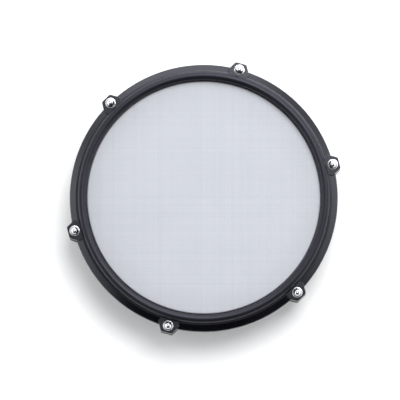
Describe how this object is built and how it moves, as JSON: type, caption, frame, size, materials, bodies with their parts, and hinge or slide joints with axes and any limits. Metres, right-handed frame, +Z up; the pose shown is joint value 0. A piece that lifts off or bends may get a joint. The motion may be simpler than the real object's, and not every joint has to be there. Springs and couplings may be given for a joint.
{
  "type": "practice pad",
  "caption": "Round drum practice pad with a mesh head tuned by a rod-tensioned hoop, a rubber rim, rubber feet and a threaded stand socket.",
  "frame": {"origin": "on the table under the pad's axis, at the centre of the feet's underside", "axes": "+Z up out of the mesh head; +X towards the first tension rod"},
  "size_m": [0.2454, 0.235, 0.053],
  "materials": {
    "shell": "satin",
    "hoop": "satin",
    "rim": "matte",
    "mesh": "matte",
    "rod": "polished",
    "washer": "satin",
    "brass": "satin",
    "channel": "satin",
    "foam": "matte",
    "plate": "matte",
    "steel": "satin",
    "foot": "matte"
  },
  "bodies": {
    "base": {"base_shell": "shell", "stand_insert": "brass", "insert_keeper": "steel", "keeper_screws": "steel", "foot_screws": "steel", "damper_plate": "plate", "plate_screws": "steel", "damper_foam": "foam", "mesh_head": "mesh", "lug_insert_1": "brass", "lug_insert_2": "brass", "lug_insert_3": "brass", "lug_insert_4": "brass", "lug_insert_5": "brass", "lug_insert_6": "brass", "rubber_foot_1": "foot", "rubber_foot_2": "foot", "rubber_foot_3": "foot", "rubber_foot_4": "foot", "rubber_foot_5": "foot", "rubber_foot_6": "foot"},
    "hoop": {"counter_hoop": "hoop", "rim_cover": "rim", "flesh_hoop": "channel", "steel_washer_1": "washer", "steel_washer_2": "washer", "steel_washer_3": "washer", "steel_washer_4": "washer", "steel_washer_5": "washer", "steel_washer_6": "washer"},
    "rod_1": {"tension_rod_1": "rod"},
    "rod_2": {"tension_rod_2": "rod"},
    "rod_3": {"tension_rod_3": "rod"},
    "rod_4": {"tension_rod_4": "rod"},
    "rod_5": {"tension_rod_5": "rod"},
    "rod_6": {"tension_rod_6": "rod"}
  },
  "joints": [
    {"name": "head_tension", "type": "slide", "parent": "base", "child": "hoop", "axis": [0, 0, 1], "range_m": [-0.0027, 0.002]},
    {"name": "rod_1_turn", "type": "hinge", "parent": "hoop", "child": "rod_1", "pos_m": [0.1167, 0, 0.0453], "axis": [0, 0, 1], "range_deg": [-990, 740]},
    {"name": "rod_2_turn", "type": "hinge", "parent": "hoop", "child": "rod_2", "pos_m": [0.05835, 0.10107, 0.0453], "axis": [0, 0, 1], "range_deg": [-990, 740]},
    {"name": "rod_3_turn", "type": "hinge", "parent": "hoop", "child": "rod_3", "pos_m": [-0.05835, 0.10107, 0.0453], "axis": [0, 0, 1], "range_deg": [-990, 740]},
    {"name": "rod_4_turn", "type": "hinge", "parent": "hoop", "child": "rod_4", "pos_m": [-0.1167, 0, 0.0453], "axis": [0, 0, 1], "range_deg": [-990, 740]},
    {"name": "rod_5_turn", "type": "hinge", "parent": "hoop", "child": "rod_5", "pos_m": [-0.05835, -0.10107, 0.0453], "axis": [0, 0, 1], "range_deg": [-990, 740]},
    {"name": "rod_6_turn", "type": "hinge", "parent": "hoop", "child": "rod_6", "pos_m": [0.05835, -0.10107, 0.0453], "axis": [0, 0, 1], "range_deg": [-990, 740]}
  ],
  "couplings": [
    {"joint": "rod_1_turn", "follows": "head_tension", "rad_per_m": 6283.2},
    {"joint": "rod_2_turn", "follows": "head_tension", "rad_per_m": 6283.2},
    {"joint": "rod_3_turn", "follows": "head_tension", "rad_per_m": 6283.2},
    {"joint": "rod_4_turn", "follows": "head_tension", "rad_per_m": 6283.2},
    {"joint": "rod_5_turn", "follows": "head_tension", "rad_per_m": 6283.2},
    {"joint": "rod_6_turn", "follows": "head_tension", "rad_per_m": 6283.2}
  ]
}
